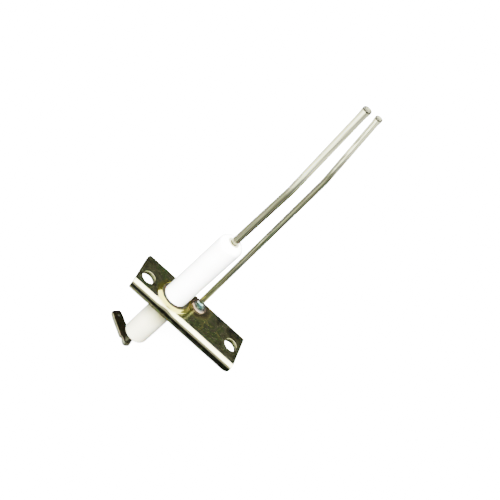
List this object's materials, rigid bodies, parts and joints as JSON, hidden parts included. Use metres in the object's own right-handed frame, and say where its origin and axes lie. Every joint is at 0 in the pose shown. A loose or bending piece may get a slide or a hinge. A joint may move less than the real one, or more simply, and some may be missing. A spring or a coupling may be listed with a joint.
{
  "type": "ignition electrode",
  "caption": "Spark ignition electrode: ceramic insulator in a folded steel bracket, bent spark rod, welded earth rod leaning beside it, blade terminal underneath",
  "frame": {"origin": "midway between the two fixing holes, on the flat underside of the bracket", "axes": "+X along the line of the fixing holes from the ceramic's end to the earth rod's end; +Y away from the folded lip; +Z along the ceramic towards the spark tips"},
  "size_m": [0.05, 0.0219, 0.145],
  "materials": {
    "passivated_steel": "yellow-green iridescent passivated zinc plate over pressed sheet steel",
    "white_ceramic": "glossy white glaze",
    "dark_packing": "matt dark sealing ring",
    "ceramic_cement": "matt off-white refractory cement",
    "electrode_alloy": "drawn heat-resistant alloy rod",
    "weld_metal": "rippled weld metal with heat tint",
    "terminal_steel": "flat bright steel strip, darkly reflecting"
  },
  "bodies": {
    "root": {"bracket": "passivated_steel", "insulator": "white_ceramic", "collar_packing": "dark_packing", "tip_cement": "ceramic_cement", "tail_cement": "ceramic_cement", "spark_rod": "electrode_alloy", "earth_rod": "electrode_alloy", "earth_rod_weld": "weld_metal", "terminal_tab": "terminal_steel", "terminal_weld": "weld_metal"}
  },
  "joints": []
}
